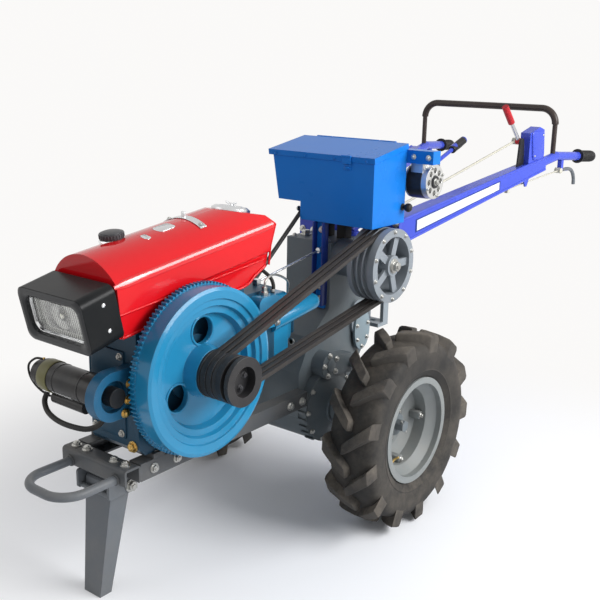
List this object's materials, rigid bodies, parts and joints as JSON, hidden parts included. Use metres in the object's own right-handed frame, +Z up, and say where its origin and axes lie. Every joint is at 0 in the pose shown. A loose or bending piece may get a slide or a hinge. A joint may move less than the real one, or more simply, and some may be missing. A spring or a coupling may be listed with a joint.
{
  "type": "walking tractor",
  "caption": "Two-wheeled walking tractor with a belt-driven gearbox, open flywheel diesel, toolbox, long handles and a folding front stand.",
  "frame": {"origin": "on the floor, at the middle of the machine's box", "axes": "+Z up, -Y to the front where the lamp is, +X to the machine's left where the flywheel is"},
  "size_m": [0.965, 2.6833, 1.2904],
  "materials": {
    "frame_grey": "dark grey enamel on a welded frame, dusty",
    "bar_grey": "mid grey enamel on bar and plate",
    "engine_teal": "dark teal-blue engine enamel over rough casting",
    "engine_cyan": "glossy cyan-blue engine enamel",
    "hood_red": "glossy bright red enamel",
    "shroud_black": "glossy charcoal moulding",
    "lens_clear": "clear fluted lamp lens",
    "cap_dark": "dark cap on a bright collar",
    "bright_metal": "bare bright metal",
    "starter_black": "black enamel with an olive band",
    "bracket_blue": "blue engine enamel",
    "cable_black": "black cable sheath",
    "pulley_black": "blackened cast iron",
    "belt_rubber": "dark brown-grey rubber",
    "clutch_grey": "light grey painted casting",
    "gear_grey": "grey painted casting",
    "cover_grey": "light grey painted plate",
    "box_blue": "blue enamel on sheet metal",
    "mount_rubber": "black rubber block",
    "strut_black": "black enamel",
    "alternator_metal": "bare cast aluminium",
    "handle_violet": "blue-violet enamel",
    "grip_black": "moulded black rubber",
    "hoop_brown": "dark brown-black enamel on tube",
    "lever_red": "red moulded grip on a steel lever",
    "rod_cream": "cream enamel on rod",
    "tyre": "black rubber with dried soil",
    "rim_grey": "light grey enamel on a pressed rim"
  },
  "bodies": {
    "chassis": {"frame_rails": "frame_grey", "front_beam": "frame_grey", "bumper_loop": "bar_grey", "stand_bracket": "bar_grey", "engine_block": "engine_teal", "cylinder_head": "engine_cyan", "intake_pipe": "engine_cyan", "injection_pump": "engine_cyan", "hood": "hood_red", "lamp_shroud": "shroud_black", "lamp_lens": "lens_clear", "filler_cap": "cap_dark", "hood_fittings": "bright_metal", "starter_motor": "starter_black", "starter_bracket": "bracket_blue", "starter_cable": "cable_black", "drive_belts": "belt_rubber", "gearbox": "gear_grey", "axle_housings": "gear_grey", "side_cover": "cover_grey", "hitch_bracket": "cover_grey", "box_post": "box_blue", "box_mounts": "mount_rubber", "toolbox": "box_blue", "stay_strut": "strut_black", "throttle_rod": "bright_metal", "alternator": "alternator_metal", "alternator_bar": "box_blue", "handle_frame": "handle_violet", "handle_left": "handle_violet", "handle_right": "handle_violet", "grips": "grip_black", "hoop": "hoop_brown", "lever_pod": "handle_violet", "lever_bracket": "strut_black", "clutch_lever": "lever_red", "clutch_rod": "rod_cream", "shift_lever": "handle_violet", "steering_levers": "handle_violet", "steering_rods": "rod_cream"},
    "flywheel_set": {"flywheel": "engine_cyan", "drive_pulley": "pulley_black"},
    "clutch_set": {"clutch_pulley": "clutch_grey"},
    "stand": {"stand_leg": "bar_grey"},
    "lid": {"toolbox_lid": "box_blue"},
    "wheel_left": {"tyre_left": "tyre", "rim_left": "rim_grey", "hub_left": "gear_grey"},
    "wheel_right": {"tyre_right": "tyre", "rim_right": "rim_grey", "hub_right": "gear_grey"}
  },
  "joints": [
    {"name": "wheel_left_spin", "type": "hinge", "parent": "chassis", "child": "wheel_left", "pos_m": [0.4, -0.25, 0.316], "axis": [1, 0, 0], "continuous": true},
    {"name": "wheel_right_spin", "type": "hinge", "parent": "chassis", "child": "wheel_right", "pos_m": [-0.4, -0.25, 0.316], "axis": [1, 0, 0], "continuous": true},
    {"name": "flywheel_spin", "type": "hinge", "parent": "chassis", "child": "flywheel_set", "pos_m": [0.172, -0.904, 0.622], "axis": [1, 0, 0], "continuous": true},
    {"name": "clutch_spin", "type": "hinge", "parent": "chassis", "child": "clutch_set", "pos_m": [0.248, -0.162, 0.807], "axis": [1, 0, 0], "continuous": true},
    {"name": "stand_fold", "type": "hinge", "parent": "chassis", "child": "stand", "pos_m": [0, -1.086, 0.316], "axis": [1, 0, 0], "range_deg": [0, 95]},
    {"name": "lid_open", "type": "hinge", "parent": "chassis", "child": "lid", "pos_m": [0.058, -0.0528, 1.18512], "axis": [-1, 0, 0], "range_deg": [0, 100]}
  ],
  "couplings": [
    {"joint": "clutch_spin", "follows": "flywheel_spin", "ratio": 0.51915}
  ]
}
